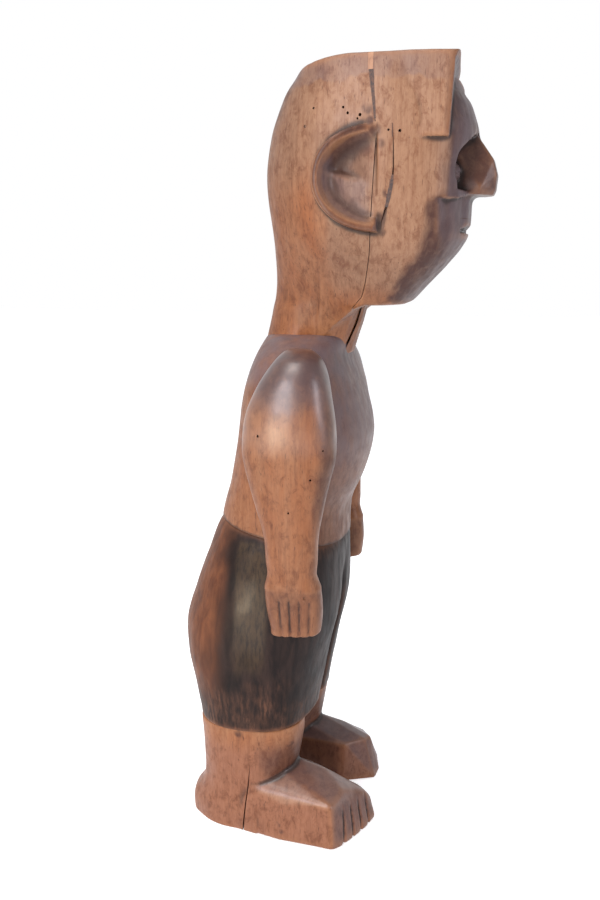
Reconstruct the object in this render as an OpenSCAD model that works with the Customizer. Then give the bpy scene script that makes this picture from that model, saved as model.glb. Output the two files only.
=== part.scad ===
// Standing carved wooden figure with a flat-topped head and stained shorts.
// +Z is up, the face looks along -Y and +X is the figure's own left side.
// The origin is on the floor, under the middle of the figure's box.

/* [Figure] */
// Size of the whole figure, as a share of its full height of 280 mm
figure_scale = 1; // [0.8:0.05:1.2]
// Corners on each carved cross-section
sides = 36; // [28:4:44]

/* [Head] */
// Width of the head across the cheeks
head_w = 63; // [58:1:66]
// Height of the crown
crown_z = 280; // [278:0.5:284]
// How far the back rim of an ear stands off the head
ear_proud = 8; // [6:0.5:10]
// Width of the nose across its wings
nose_w = 18; // [14:1:22]
// Width of the mouth
mouth_w = 24; // [18:1:28]
// Width of an eye
eye_w = 12; // [9:1:14]
// Height of the underside of the jaw
jaw_z = 197.5; // [195:0.5:199]

/* [Trunk] */
// Width of the neck
neck_w = 36; // [32:1:38]
// Width of the chest below the shoulders
chest_w = 68; // [64:1:70]
// Width of the shorts across the hips
hip_w = 76; // [72:1:78]
// Height of the waist line at the middle of the side
waist_z = 112; // [110:1:116]

/* [Arms] */
// Greatest width of the upper arm
arm_w = 22; // [18:1:24]
// Distance from the midline to the middle of a wrist
wrist_x = 46; // [45:0.5:48]
// Height of the crease between the arm and the hand
wrist_z = 108; // [104:1:112]
// Depth of the cuts between the fingers
finger_cut = 1.4; // [0.8:0.2:2]
// How much further back the left shoulder sits than the right one
left_shoulder_back = 6; // [0:0.5:8]
// How much further back the left hand hangs than the right one
left_hand_back = 2.5; // [0:0.5:4]

/* [Legs] */
// Distance from the midline to the middle of a leg
leg_x = 20; // [19:0.5:21]
// Width of a shin
shin_w = 30; // [26:1:32]
// Height of the hem of the shorts
hem_z = 42; // [38:1:46]
// Height of the instep where the foot meets the shin
instep_z = 25; // [22:1:28]
// Depth of the cuts between the toes
toe_cut = 1.2; // [0.6:0.2:1.6]

/* [Hidden] */

wood = "#b97f56";
dark_wood = "#8a4f33";
stain = "#3a2a22";
new_wood = "#d9a679";

// Larger than the figure in every direction, for half-spaces
reach = 400;
head_r = head_w / 2;
neck_r = neck_w / 2;
chest_r = chest_w / 2;
hip_r = hip_w / 2;
arm_r = arm_w / 2;
shin_r = shin_w / 2;

// The split between the face and the rest of the head, as points of y and z
split = [[-17, 300], [-18, 250], [-16, 215], [-14, 201], [-7, 197], [-4.5, 181], [-3, 170]];
// Thickness, lowest and highest point of the filler in the split near the crown
crown_filler = [1, 256, 271];
// The same for the filler in the crack that runs in front of the split by the ear
ear_filler = [1.4, 229.5, 239.5];
ear_crack_ahead = 6.5;
// Filler is only as deep as this below the surface
filler_depth = 3;
// The slip of new wood at the crown: thickness, lowest point and depth
slip_thickness = 1.8;
slip_base_z = 271.5;
slip_depth = 4;

nose_top_z = 255;
nose_base_z = 234;
// Half width of the flat ridge of the nose
nose_ridge = 4;
// Back wall of the hollows beside the nose
socket_back_y = -41;
eye_z = 244;
mouth_z = 222;
// Front of the chin at the mouth and how deep the lips are let in behind it
lips_front_y = -47;
lips_depth = 6;

ear_front_y = -19;
ear_z = 238.5;
ear_depth = 20;
ear_height = 34;
// The ear's back edge turns out from the head by this angle
ear_lean = 14;
ear_rim = 2.5;

// Top of the slot between the legs of the shorts
crotch_z = 84;
// Where the groove above the slot fades out
groove_z = 102;
// Half widths of the slot, in the middle and at its two mouths
slot_r = 1.5;
slot_mouth_r = 5;

// The waist line rises towards the back by this angle
waist_tilt = 6;
// Middle of the figure's depth at the waist
waist_y = 18;

// Rows of a carved mass: height, centre x, half width, front y, back y
crown_rows = [
    [crown_z, 0, 0.3 * head_r, -28, -12],
    [crown_z - 1.4, 0, 0.7 * head_r, -37, -1],
    [crown_z - 3, 0, 0.93 * head_r, -43.5, 7],
    [crown_z - 7, 0, 0.95 * head_r, -43, 13]
];
head_rows = [
    [268, 0, 0.97 * head_r, -43, 17],
    [265, 0, 0.98 * head_r, -45.5, 18.5],
    [260, 0, head_r, -47.5, 20.5],
    [254, 0, 1.01 * head_r, -49, 22.5],
    [244, 0, 1.01 * head_r, -47.5, 24],
    [236, 0, head_r, -47, 24],
    [228, 0, 0.97 * head_r, -47, 23],
    [220, 0, 0.92 * head_r, -46, 22]
];
jaw_rows = [
    [212, 0, 0.86 * head_r, -40, 21.5],
    [205, 0, 0.8 * head_r, -33.5, 21.5],
    [jaw_z, 0, 0.73 * head_r, -26.5, 22]
];
nape_rows = [
    [212, 0, 0.8 * head_r, -40, 21.5],
    [205, 0, 0.67 * head_r, -33.5, 21.5],
    [jaw_z, 0, 1.02 * neck_r, -27, 22.5]
];
neck_rows = [
    [jaw_z, 0, 1.02 * neck_r, -10, 22.5],
    [190, 0, neck_r, -8, 24],
    [184, 0, neck_r, -6.5, 26],
    [172, 0, neck_r, -4, 26]
];
torso_rows = [
    [187, 0, 0.56 * chest_r, -5, 24],
    [184, 0, 0.76 * chest_r, -5.5, 25.5],
    [180, 0, 0.95 * chest_r, -5, 27],
    [175, 0, 1.04 * chest_r, -6.5, 29],
    [168, 0, 1.06 * chest_r, -9, 31.5],
    [160, 0, 1.04 * chest_r, -11.5, 33.5],
    [150, 0, chest_r, -13.5, 35],
    [140, 0, 0.955 * chest_r, -12, 37],
    [130, 0, 0.925 * chest_r, -8.5, 39],
    [122, 0, 0.91 * chest_r, -5, 41.5],
    [100, 0, 0.91 * chest_r, -4, 46]
];
hip_rows = [
    [120, 0, 0.8 * hip_r, -4.5, 42],
    [114, 0, 0.83 * hip_r, -4.5, 44.5],
    [108, 0, 0.87 * hip_r, -4, 46],
    [100, 0, 0.92 * hip_r, -4, 49],
    [90, 0, 0.97 * hip_r, -4, 52.5],
    [80, 0, hip_r, -3, 55.5],
    [70, 0, 1.01 * hip_r, -0.5, 54.5],
    [60, 0, hip_r, 1.5, 53],
    [50, 0, 0.985 * hip_r, 3.5, 51.5],
    [hem_z, 0, 0.97 * hip_r, 5, 50]
];
shin_rows = [
    [hem_z, -leg_x, 1.03 * shin_r, 7.5, 47.5],
    [36, -leg_x, shin_r, 7.5, 47],
    [30, -leg_x, 0.98 * shin_r, 9, 47],
    [12, -leg_x, 0.97 * shin_r, 12, 46]
];
arm_rows = [
    [184, 10 - wrist_x, 0.4 * arm_r, 1, 9],
    [181, 8 - wrist_x, 0.8 * arm_r, -3, 12],
    [175, 5.5 - wrist_x, 0.93 * arm_r, -6, 16],
    [168, 4 - wrist_x, 0.95 * arm_r, -7.5, 19.5],
    [160, 3.2 - wrist_x, arm_r, -9, 22],
    [150, 2.5 - wrist_x, 0.95 * arm_r, -9.5, 22.5],
    [143, 2 - wrist_x, 0.86 * arm_r, -8, 21],
    [136, 1.5 - wrist_x, 0.77 * arm_r, -6.5, 19],
    [128, 1 - wrist_x, 0.68 * arm_r, -5, 16.5],
    [120, 0.5 - wrist_x, 0.62 * arm_r, -4, 14.5],
    [wrist_z, -wrist_x, 0.55 * arm_r, -4, 14]
];
hand_rows = [
    [wrist_z, 0.5 - wrist_x, 0.55 * arm_r, -4, 14],
    [102, 1 - wrist_x, 0.55 * arm_r, -5, 14.5],
    [95, 1.5 - wrist_x, 0.52 * arm_r, -5.5, 14],
    [87, 2 - wrist_x, 0.46 * arm_r, -4.5, 12.5]
];

// Where the finger cuts start on the outside of a hand
hand_side_x = 1.4 - wrist_x - 0.5 * arm_r;
hand_front_y = -4.5;
hand_middle_z = 93;

// Rows moved back, by one amount at the hand and by another at the shoulder
function set_back(rows, hand, shoulder) = [
    for (row = rows)
        let (
            rise = max(0, (row[0] - wrist_z) / (arm_rows[0][0] - wrist_z)),
            shift = hand + rise * (shoulder - hand)
        )
        row + [0, 0, 0, shift, shift]
];

// Outline of the right foot on the floor: x and y, from the heel round the outer side
foot_outline = [
    [-16, 53], [-26, 51], [-33, 41], [-35, 26], [-39, 8], [-39, -10],
    [-29, -17], [-14, -21], [-9, -14], [-7, 10], [-7, 38]
];
// The left foot's inner front corner is cut off at an angle
cut_foot_outline = [
    [-16, 53], [-25, 51], [-32, 41], [-35, 26], [-38, 8], [-37, -9],
    [-31, -14], [-18, -17], [-9, -9], [-7, 10], [-7, 38]
];
toe_count = 5;
finger_count = 5;
// Distance between two finger cuts
finger_pitch = 3.6;
// Top of the upright wall round a foot
foot_wall_z = 7;

function signed_power(v, p) = sign(v) * pow(abs(v), 2 / p);

// One closed ring of points round a row; the front and back halves have their own squareness
function ring(row, front_p, back_p) = [
    for (i = [0 : sides - 1])
        let (
            a = 360 * i / sides,
            p = sin(a) < 0 ? front_p : back_p,
            middle = (row[3] + row[4]) / 2,
            half_depth = (row[4] - row[3]) / 2
        )
        [row[1] + row[2] * signed_power(cos(a), p), middle + half_depth * signed_power(sin(a), p), row[0]]
];

// A smooth curve from b to c, with a and d as the neighbours on each side
function curve(a, b, c, d, t) =
    b + 0.5 * t * (c - a + t * (2 * a - 5 * b + 4 * c - d + t * (3 * (b - c) + d - a)));

// Extra rows between the given ones
function refine(rows, steps) = [
    for (i = [0 : len(rows) - 2], s = [0 : steps - 1])
        curve(rows[max(i - 1, 0)], rows[i], rows[i + 1], rows[min(i + 2, len(rows) - 1)], s / steps),
    rows[len(rows) - 1]
];

// A solid through all rows, which run from the top down
module loft(rows, front_p = 2.4, back_p = 2.4, steps = 2) {
    fine = refine(rows, steps);
    last = len(fine) - 1;
    points = [for (row = fine) each ring(row, front_p, back_p)];
    walls = [
        for (r = [0 : last - 1], i = [0 : sides - 1])
            let (j = (i + 1) % sides, top = r * sides, low = (r + 1) * sides)
            each [[low + i, top + i, top + j], [low + i, top + j, low + j]]
    ];
    top_face = [for (i = [sides - 1 : -1 : 0]) i];
    low_face = [for (i = [0 : sides - 1]) last * sides + i];
    polyhedron(points, concat(walls, [top_face, low_face]), convexity = 4);
}

module on_left() {
    mirror([1, 0, 0]) children();
}

// Turns an outline of y and z into a bar across the figure
module across(width) {
    translate([-width / 2, 0, 0])
        rotate([90, 0, 90])
            linear_extrude(width) children();
}

module sized() {
    scale(figure_scale) children();
}

// Whole masses before they are divided at the carved borders

module head_mass() {
    loft(concat(crown_rows, head_rows, jaw_rows), front_p = 3, back_p = 2.5);
}

module nape_mass() {
    loft(concat(crown_rows, head_rows, nape_rows), front_p = 3, back_p = 2.5);
}

module neck_mass() {
    loft(neck_rows, front_p = 2.4, back_p = 2.5);
}

module torso_mass() {
    loft(torso_rows);
}

// Everything in front of the split
module before_split() {
    across(reach) polygon(concat(split, [[-reach, 170], [-reach, 300]]));
}

module above_waist() {
    translate([0, waist_y, waist_z])
        rotate([waist_tilt, 0, 0])
            translate([-reach / 2, -reach / 2, 0]) cube(reach);
}

// A strip along the split: thickness, lowest and highest point
module split_strip(size) {
    intersection() {
        difference() {
            translate([0, size[0] / 2, 0]) before_split();
            translate([0, -size[0] / 2, 0]) before_split();
        }
        translate([-reach / 2, -reach / 2, size[1]]) cube([reach, reach, size[2] - size[1]]);
    }
}

module filler_mass() {
    difference() {
        intersection() {
            union() {
                split_strip(crown_filler);
                // Shifted until it reaches the right side of the head only
                translate([-reach / 2, -ear_crack_ahead, 0]) split_strip(ear_filler);
            }
            head_mass();
        }
        translate([-head_r + filler_depth, -reach / 2, 0]) cube([head_w - 2 * filler_depth, reach, reach]);
    }
}

module slip_mass() {
    intersection() {
        split_strip([slip_thickness, slip_base_z, crown_z]);
        head_mass();
        translate([-reach, -reach / 2, 0]) cube([reach - head_r + slip_depth, reach, reach]);
    }
}

module nose_mass() {
    hull()
        for (side = [-1, 1])
            for (
                corner = [
                    [2.5, -47.5, nose_top_z],
                    [5, -40, nose_top_z],
                    [nose_ridge, -54, 246],
                    [nose_ridge, -55.4, 240],
                    [nose_ridge, -55, nose_base_z + 0.5],
                    [nose_w / 2, -51, nose_base_z + 0.5],
                    [nose_w / 2, -40, nose_base_z]
                ]
            )
                translate([side * corner[0], corner[1], corner[2]]) cube(0.2, center = true);
}

// The three-sided hollow beside the nose
module socket() {
    hull() {
        translate([-3, -50, nose_top_z]) sphere(0.5, $fn = 12);
        translate([-3, socket_back_y, nose_base_z + 3]) sphere(1, $fn = 12);
        translate([-17, socket_back_y, 248]) sphere(1, $fn = 12);
        translate([-18, socket_back_y, 240]) sphere(1, $fn = 12);
        translate([-20, -52, 243]) sphere(2, $fn = 12);
        translate([-3, -52, nose_base_z + 3]) sphere(2, $fn = 12);
    }
}

module eye_mass() {
    translate([-eye_w, socket_back_y + 0.5, eye_z])
        intersection() {
            for (side = [-1, 1])
                translate([0, 0, side * eye_w * 0.56])
                    rotate([90, 0, 0])
                        cylinder(h = 6, r = 0.75 * eye_w, center = true, $fn = 48);
            translate([0, 5, 0]) sphere(7.5, $fn = 48);
        }
}

module mouth_room() {
    translate([0, lips_front_y, mouth_z])
        rotate([90, 0, 0])
            linear_extrude(12, center = true)
                intersection() {
                    translate([0, -mouth_w * 0.9]) circle(mouth_w * 1.05, $fn = 64);
                    translate([0, mouth_w * 0.9]) circle(mouth_w * 1.05, $fn = 64);
                }
}

module lip_mass() {
    intersection() {
        head_mass();
        mouth_room();
        translate([-reach / 2, lips_front_y + lips_depth - reach, 0]) cube(reach);
    }
}

module mouth_slot() {
    across(reach) polygon([[-60, mouth_z + 3], [-44, mouth_z], [-60, mouth_z - 0.8]]);
}

module ear_outline() {
    intersection() {
        resize([2 * ear_depth, ear_height]) circle(20, $fn = 48);
        translate([0, -ear_height]) square(2 * ear_height);
    }
}

module ear_mass() {
    translate([-head_r, ear_front_y, ear_z])
        rotate([0, 0, ear_lean])
            translate([ear_proud * 0.4, 0, 0])
                rotate([90, 0, -90])
                    mirror([1, 0, 0])
                        difference() {
                            linear_extrude(ear_proud * 0.9) ear_outline();
                            translate([0, 0, ear_proud * 0.9])
                                scale([ear_depth - ear_rim, ear_height / 2 - ear_rim, ear_proud * 0.8])
                                    sphere(1, $fn = 32);
                        }
}

module hand_mass(back = 0) {
    difference() {
        loft(set_back(hand_rows, back, 0), front_p = 3, back_p = 3);
        for (finger = [1 : finger_count - 1])
            translate([hand_side_x, back + hand_front_y + finger * finger_pitch, hand_middle_z])
                rotate([0, 0, 45])
                    cube([finger_cut, finger_cut, 16], center = true);
    }
}

// A foot from its outline: an upright wall, a sloping top and a ridge up to the shin
module foot_mass(outline, top_corners, ridge_z) {
    hull() {
        linear_extrude(foot_wall_z) offset(1) offset(-1) polygon(outline);
        translate([0, 0, foot_wall_z]) linear_extrude(3) offset(-0.8) polygon(outline);
        for (corner = top_corners)
            translate(corner) cube(0.4, center = true);
        translate([-leg_x, 18, ridge_z - 3])
            rotate([90, 0, 0])
                cylinder(h = 16, r1 = 12, r2 = 2, center = true, $fn = 24);
        translate([-leg_x, 37, 9]) cylinder(h = 4, r1 = 13.5, r2 = 10, $fn = 24);
    }
}

module whole_foot() {
    foot_mass(foot_outline, [[-37, -8, 16], [-29, -13, 16.5], [-15, -18, 9]], instep_z);
}

module cut_foot() {
    foot_mass(cut_foot_outline, [[-35, -5, 8], [-28, -7, 9.5], [-19, -8, 10], [-11, -4, 8]], instep_z - 7);
}

module toe_cuts() {
    for (toe = [1 : toe_count - 1])
        let (share = toe / toe_count)
        translate([-39 + share * 25, -11 - share * 9, 4])
            rotate([8, 0, 45])
                cube([toe_cut, toe_cut, 18], center = true);
}

module arm_mass(hand_back = 0, shoulder_back = 0) {
    loft(set_back(arm_rows, hand_back, shoulder_back), front_p = 2.3, back_p = 2.3);
}

module leg_slot() {
    linear_extrude(crotch_z)
        polygon([
            [-slot_mouth_r, -12], [slot_mouth_r, -12], [slot_r, 12], [slot_r, 38],
            [slot_mouth_r, 62], [-slot_mouth_r, 62], [-slot_r, 38], [-slot_r, 12]
        ]);
}

// A groove that runs on up from one mouth of the slot and fades out
module groove(outer_y, inner_y) {
    hull() {
        translate([0, outer_y, crotch_z - 1]) cube([7, 4, 2], center = true);
        translate([0, inner_y, crotch_z - 1]) cube([2, 2, 2], center = true);
        translate([0, outer_y, groove_z]) cube([1, 3, 1], center = true);
    }
}

module shorts_mass() {
    difference() {
        loft(hip_rows, front_p = 2.8, back_p = 2.6);
        above_waist();
        leg_slot();
        groove(-6, 1);
        groove(56, 50);
    }
}

// The pieces

module cranium() {
    color(wood) sized() difference() {
        nape_mass();
        before_split();
        filler_mass();
        slip_mass();
    }
}

module face() {
    color(dark_wood) sized() difference() {
        intersection() {
            union() {
                head_mass();
                neck_mass();
            }
            before_split();
        }
        socket();
        on_left() socket();
        nose_mass();
        lip_mass();
        eye_mass();
        on_left() eye_mass();
        filler_mass();
        slip_mass();
        torso_mass();
    }
}

module nose() {
    color(dark_wood) sized() nose_mass();
}

module lips() {
    color(dark_wood) sized() difference() {
        lip_mass();
        mouth_slot();
    }
}

module right_eye() {
    color(dark_wood) sized() eye_mass();
}

module left_eye() {
    color(dark_wood) sized() on_left() eye_mass();
}

module right_ear() {
    color(wood) sized() difference() {
        ear_mass();
        head_mass();
        nape_mass();
    }
}

module left_ear() {
    color(wood) sized() on_left() difference() {
        ear_mass();
        head_mass();
        nape_mass();
    }
}

module crown_slip() {
    color(new_wood) sized() slip_mass();
}

module seam_filler() {
    color(stain) sized() filler_mass();
}

module neck() {
    color(wood) sized() difference() {
        neck_mass();
        before_split();
        torso_mass();
    }
}

module torso() {
    color(wood) sized() intersection() {
        torso_mass();
        above_waist();
    }
}

module right_arm() {
    color(wood) sized() difference() {
        arm_mass();
        torso_mass();
    }
}

module left_arm() {
    color(wood) sized() on_left() difference() {
        arm_mass(left_hand_back, left_shoulder_back);
        torso_mass();
    }
}

module right_hand() {
    color(wood) sized() difference() {
        hand_mass();
        shorts_mass();
    }
}

module left_hand() {
    color(wood) sized() on_left() difference() {
        hand_mass(left_hand_back);
        shorts_mass();
    }
}

module shorts() {
    color(stain) sized() shorts_mass();
}

module right_leg() {
    color(wood) sized() difference() {
        loft(shin_rows, front_p = 2.3, back_p = 2.3);
        whole_foot();
    }
}

module left_leg() {
    color(wood) sized() on_left() difference() {
        loft(shin_rows, front_p = 2.3, back_p = 2.3);
        cut_foot();
    }
}

module right_foot() {
    color(wood) sized() difference() {
        whole_foot();
        toe_cuts();
    }
}

module left_foot() {
    color(wood) sized() on_left() cut_foot();
}

cranium();
face();
nose();
lips();
right_eye();
left_eye();
right_ear();
left_ear();
crown_slip();
seam_filler();
neck();
torso();
right_arm();
left_arm();
right_hand();
left_hand();
shorts();
right_leg();
left_leg();
right_foot();
left_foot();
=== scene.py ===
"""Looks of the standing carved figure: sculpted wood, stain, patina, cracks and worm holes.

Shapes are worked out in millimetres as fields of signed distance, negative inside the wood,
and become Blender meshes in metres in the frame's own coordinates.
The figure faces -Y, +X is its own left side and the floor is at z = 0.
"""

import functools

import bmesh
import bpy
import numpy as np
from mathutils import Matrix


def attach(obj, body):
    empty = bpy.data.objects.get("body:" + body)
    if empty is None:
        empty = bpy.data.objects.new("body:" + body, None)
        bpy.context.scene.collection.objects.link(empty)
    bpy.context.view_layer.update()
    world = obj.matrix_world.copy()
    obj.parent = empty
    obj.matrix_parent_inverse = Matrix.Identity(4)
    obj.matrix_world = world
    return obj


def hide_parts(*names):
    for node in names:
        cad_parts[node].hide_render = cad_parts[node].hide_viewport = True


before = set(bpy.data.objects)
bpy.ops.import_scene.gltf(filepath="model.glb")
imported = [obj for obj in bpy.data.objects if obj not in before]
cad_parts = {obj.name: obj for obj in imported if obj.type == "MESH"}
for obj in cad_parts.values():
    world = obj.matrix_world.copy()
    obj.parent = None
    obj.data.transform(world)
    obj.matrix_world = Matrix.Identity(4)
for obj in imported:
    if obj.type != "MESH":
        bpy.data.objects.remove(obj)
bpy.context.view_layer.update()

import openvdb
from mathutils import Vector

MM = 0.001


# ---- stage

CAMERA_PLACE = (-334.0, -72.4, 215.0)
CAMERA_AIM = (0.947, 0.245, -0.208)
CAMERA_LENS = 37.0
# The room is dimmer on the figure's right and front than behind it on its left
BRIGHT_SIDE = (0.8, 0.6, 0.0)
DIM_SKY = 0.3
SKY_COLOUR = (1.0, 1.0, 1.01, 1)
# Name, place, size, power and colour of the soft lamps, which are all turned to one point
LAMPS = [
    ("key", (-750, 235, 470), (290, 420), 5.5, (0.96, 0.94, 1.0)),
    ("front", (-260, -770, 420), (230, 360), 3.2, (0.93, 0.92, 1.0)),
    ("top", (-380, 120, 950), (400, 400), 5.4, (1.0, 0.98, 0.96)),
    ("spark", (-800, 290, 75), (70, 70), 2.4, (1.0, 0.8, 0.56)),
]
LIT_POINT = (-45, 5, 165)
FLOOR_METRES = 6.0


def set_inputs(node, values):
    for name, value in values.items():
        node.inputs[name].default_value = value


def make_camera():
    data = bpy.data.cameras.new("camera")
    data.lens = CAMERA_LENS
    data.clip_start = 0.01
    camera = bpy.data.objects.new("camera", data)
    camera.location = Vector(CAMERA_PLACE) * MM
    camera.rotation_euler = Vector(CAMERA_AIM).to_track_quat("-Z", "Y").to_euler()
    bpy.context.scene.collection.objects.link(camera)
    bpy.context.scene.camera = camera


def make_sky():
    """A plain sky that grows dimmer away from its bright side."""
    world = bpy.data.worlds.new("studio")
    world.use_nodes = True
    tree = world.node_tree
    direction = tree.nodes.new("ShaderNodeTexCoord").outputs["Generated"]
    towards = tree.nodes.new("ShaderNodeVectorMath")
    towards.operation = "DOT_PRODUCT"
    towards.inputs[1].default_value = BRIGHT_SIDE
    shade = tree.nodes.new("ShaderNodeMapRange")
    set_inputs(shade, {"From Min": -0.5, "From Max": 0.6, "To Min": DIM_SKY, "To Max": 1.0})
    tree.links.new(direction, towards.inputs[0])
    tree.links.new(towards.outputs["Value"], shade.inputs["Value"])
    sky = tree.nodes["Background"]
    sky.inputs["Color"].default_value = SKY_COLOUR
    tree.links.new(shade.outputs["Result"], sky.inputs["Strength"])
    bpy.context.scene.world = world
    bpy.context.scene.view_settings.view_transform = "Standard"


def make_lamps():
    for name, place, size, power, colour in LAMPS:
        data = bpy.data.lights.new(name, "AREA")
        data.shape = "RECTANGLE"
        data.size = size[0] * MM
        data.size_y = size[1] * MM
        data.energy = power
        data.color = colour
        lamp = bpy.data.objects.new(name, data)
        lamp.location = Vector(place) * MM
        aim = Vector(LIT_POINT) - Vector(place)
        lamp.rotation_euler = aim.to_track_quat("-Z", "Y").to_euler()
        bpy.context.scene.collection.objects.link(lamp)


def make_floor():
    bpy.ops.mesh.primitive_plane_add(size=FLOOR_METRES)
    floor = bpy.context.object
    floor.name = "floor"
    material = bpy.data.materials.new("pale_floor")
    material.use_nodes = True
    set_inputs(material.node_tree.nodes["Principled BSDF"], {
        "Base Color": (0.9, 0.9, 0.91, 1), "Roughness": 0.8, "Specular IOR Level": 0.2,
        "Emission Color": (0.96, 0.98, 1.0, 1), "Emission Strength": 0.45,
    })
    floor.data.materials.append(material)


# ---- numbers on arrays

def ramp(start, end, value):
    """0 before start, 1 after end, smooth between; start may be above end."""
    t = np.clip((value - start) / (end - start), 0, 1)
    return t * t * (3 - 2 * t)


def joined(a, b, soft):
    """Union of two distances with a fillet of about this size."""
    h = np.clip(0.5 + 0.5 * (b - a) / soft, 0, 1)
    return b + (a - b) * h - soft * h * (1 - h)


def overlap(a, b, soft):
    """Intersection of two distances with a rounded edge of about this size."""
    return -joined(-a, -b, soft)


def strongest(*masks):
    """The largest of several masks at each point."""
    return functools.reduce(np.maximum, masks)


def interpolated(table, cell, t):
    """Blends the eight values around each point; cells past the end of the table wrap round."""
    total = np.zeros(len(cell))
    for corner in np.ndindex(2, 2, 2):
        weight = np.prod(np.where(corner, t, 1 - t), axis=1)
        i, j, k = ((cell + corner) % table.shape).T
        total += weight * table[i, j, k]
    return total


def noise(points, size, seed):
    """Smooth noise from -1 to 1 with blotches about size mm across."""
    table = np.random.default_rng(seed).uniform(-1, 1, (32, 32, 32))
    place = points / np.asarray(size, float)
    cell = np.floor(place).astype(int)
    return interpolated(table, cell, ramp(0, 1, place - cell))


# ---- fields

class Field:
    """A block of points, some mm apart, on which distances are worked out."""

    def __init__(self, low, high, step):
        self.step = step
        self.start = np.round(np.array(low) / step).astype(int)
        self.count = np.round(np.array(high) / step).astype(int) - self.start + 1
        axes = [step * np.arange(s, s + n) for s, n in zip(self.start, self.count)]
        self.x, self.y, self.z = (a.astype(np.float32) for a in np.ix_(*axes))
        self.placing = openvdb.createLinearTransform(voxelSize=step)

    def layer(self, z):
        return int(round(z / self.step)) - self.start[2]

    def carry_on(self, d, z, way, slope=0.0):
        """Makes all layers above z (way 1) or below it (way -1) like the one at z.

        The distance in them grows by slope for each mm further on.
        """
        k = self.layer(z)
        part = slice(k, None) if way > 0 else slice(k)
        d[:, :, part] = d[:, :, k:k + 1] + slope * way * (self.z[:, :, part] - z)

    def distance(self, points, faces, band=4.0):
        """Distance to a closed surface of triangles or quads, right within the band."""
        kind = "triangles" if faces.shape[1] == 3 else "quads"
        width = band / self.step
        grid = openvdb.FloatGrid.createLevelSetFromPolygons(
            points.astype(np.float32), transform=self.placing,
            exBandWidth=width, inBandWidth=width, **{kind: faces.astype(np.uint32)}
        )
        out = np.empty(self.count, np.float32)
        grid.copyToArray(out, ijk=tuple(int(s) for s in self.start))
        return out

    def surface(self, distance, level=0.0):
        """Points in mm and quads of the surface where the distance has this value."""
        grid = openvdb.FloatGrid(float(distance.max()))
        grid.transform = self.placing
        grid.copyFromArray(np.ascontiguousarray(distance), ijk=tuple(int(s) for s in self.start))
        return grid.convertToQuads(level)

    def nodes(self, *names):
        """Distance to CAD nodes that touch each other, taken as one solid."""
        if len(names) == 1:
            return self.distance(*node_surface(names[0]))
        grow = 0.6
        thin = (self.distance(*node_surface(name), band=2.0) for name in names)
        nearest = functools.reduce(np.minimum, thin)
        return self.distance(*self.surface(nearest, grow)) + grow

    def opened(self, distance, size):
        """The same solid without anything thinner than twice this size."""
        return self.distance(*self.surface(distance, -size)) - size

    def hull(self, corners):
        """Distance to the convex hull of some corners."""
        shape = bmesh.new()
        for corner in corners:
            shape.verts.new(corner)
        bmesh.ops.convex_hull(shape, input=shape.verts[:])
        bmesh.ops.triangulate(shape, faces=shape.faces[:])
        bmesh.ops.recalc_face_normals(shape, faces=shape.faces[:])
        shape.verts.index_update()
        points = np.array([v.co[:] for v in shape.verts])
        faces = np.array([[v.index for v in face.verts] for face in shape.faces])
        shape.free()
        return self.distance(points, faces)

    def ball(self, centre, radii):
        """Rough distance to an ellipsoid."""
        scaled = [(a - c) / r for a, c, r in zip((self.x, self.y, self.z), centre, radii)]
        return (np.sqrt(scaled[0] ** 2 + scaled[1] ** 2 + scaled[2] ** 2) - 1) * min(radii)

    def blurred(self, distance, sigma):
        """Gaussian smoothing, which rounds edges to about sigma mm."""
        reach = int(np.ceil(2.5 * sigma / self.step))
        offsets = np.arange(-reach, reach + 1)
        weights = np.exp(-0.5 * (offsets * self.step / sigma) ** 2)
        weights /= weights.sum()
        for axis in range(3):
            padding = [(reach, reach) if a == axis else (0, 0) for a in range(3)]
            padded = np.pad(distance, padding, mode="edge")
            total = np.zeros_like(distance)
            for shift, weight in enumerate(weights):
                part = [slice(None)] * 3
                part[axis] = slice(shift, shift + distance.shape[axis])
                total += np.float32(weight) * padded[tuple(part)]
            distance = total
        return distance

    def sample(self, values, points):
        """Values of a field at some points in mm, by linear interpolation."""
        place = points / self.step - self.start
        place = np.clip(place, 0, np.array(values.shape) - 1.001)
        cell = place.astype(int)
        return interpolated(values, cell, place - cell)


def triples(collection, key, kind=np.float32):
    """The three numbers that each member of a Blender collection has under this key."""
    out = np.empty(len(collection) * 3, kind)
    collection.foreach_get(key, out)
    return out.reshape(-1, 3)


def node_surface(name):
    """Points in mm and triangles of a CAD node."""
    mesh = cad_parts[name].data
    mesh.calc_loop_triangles()
    points = triples(mesh.vertices, "co", float) / MM
    return points, triples(mesh.loop_triangles, "vertices", np.int32)


# ---- head

JAW_Z = 197.5
CROWN_Z = 279.8
HEAD_R = 31.5
EAR_FRONT_Y = -19.3
EAR_Z = 238.5
EAR_DEPTH = 20.4
EAR_R = 16.8
EAR_RIM = 2.1
HAIR_LOW_Z = 251.0
FRONT_CUT_Z = 270.5


def on_side(side, corners):
    return [(side * x, y, z) for x, y, z in corners]


def mirrored(corners):
    return on_side(-1, corners) + on_side(1, corners)


def hair_turn(x):
    """How much further back the front edge of the hair stands than on the right."""
    return 0.09 * (x + 27)


def hair_front(x, z):
    """The y of the front edge of the hair."""
    return -41.5 - 0.05 * (z - 251.2) + hair_turn(x)


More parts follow.
